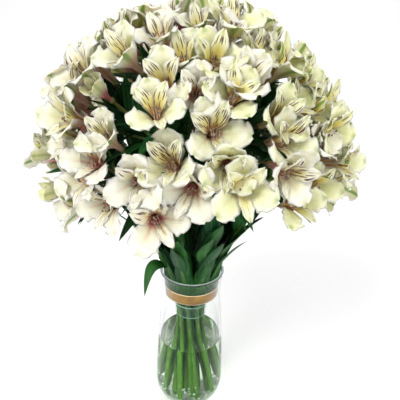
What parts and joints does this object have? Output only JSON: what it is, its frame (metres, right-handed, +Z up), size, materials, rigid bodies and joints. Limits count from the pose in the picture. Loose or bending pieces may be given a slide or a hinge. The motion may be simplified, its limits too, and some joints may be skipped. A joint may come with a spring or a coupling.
{
  "type": "alstroemerias in a vase",
  "caption": "Hand-tied round bunch of white alstroemerias with dark leaves, standing in water in a clear glass vase with a gold ribbon inside its neck.",
  "frame": {"origin": "centre of the vase's flat foot, on the surface the vase stands on", "axes": "+Z up along the vase's axis; -Y towards the viewer, at the front where the bunch parts over its stems; +X to the viewer's right"},
  "size_m": [0.403, 0.3119, 0.5617],
  "materials": {
    "glass": "clear, polished",
    "water": "clear still water",
    "ribbon": "satin woven, metallic gold",
    "tape": "clear, glossy",
    "stem": "smooth living green",
    "leaf": "satin, parallel-veined",
    "floret": "soft white petal with pink base and maroon dashes"
  },
  "bodies": {
    "root": {"vase": "glass", "water": "water", "gold_ribbon": "ribbon", "binding_tape": "tape", "stem_01": "stem", "leaf_whorl_01": "leaf", "flower_head_01": "floret", "stem_02": "stem", "leaf_whorl_02": "leaf", "flower_head_02": "floret", "stem_03": "stem", "leaf_whorl_03": "leaf", "flower_head_03": "floret", "stem_04": "stem", "leaf_whorl_04": "leaf", "flower_head_04": "floret", "stem_05": "stem", "leaf_whorl_05": "leaf", "flower_head_05": "floret", "stem_06": "stem", "leaf_whorl_06": "leaf", "flower_head_06": "floret", "stem_07": "stem", "leaf_whorl_07": "leaf", "flower_head_07": "floret", "stem_08": "stem", "leaf_whorl_08": "leaf", "flower_head_08": "floret", "stem_09": "stem", "leaf_whorl_09": "leaf", "flower_head_09": "floret", "stem_10": "stem", "leaf_whorl_10": "leaf", "flower_head_10": "floret", "stem_11": "stem", "leaf_whorl_11": "leaf", "flower_head_11": "floret", "stem_12": "stem", "leaf_whorl_12": "leaf", "flower_head_12": "floret", "stem_13": "stem", "leaf_whorl_13": "leaf", "flower_head_13": "floret", "stem_14": "stem", "leaf_whorl_14": "leaf", "flower_head_14": "floret", "stem_15": "stem", "leaf_whorl_15": "leaf", "flower_head_15": "floret", "stem_16": "stem", "leaf_whorl_16": "leaf", "flower_head_16": "floret", "stem_17": "stem", "leaf_whorl_17": "leaf", "flower_head_17": "floret", "stem_18": "stem", "leaf_whorl_18": "leaf", "flower_head_18": "floret"}
  },
  "joints": []
}
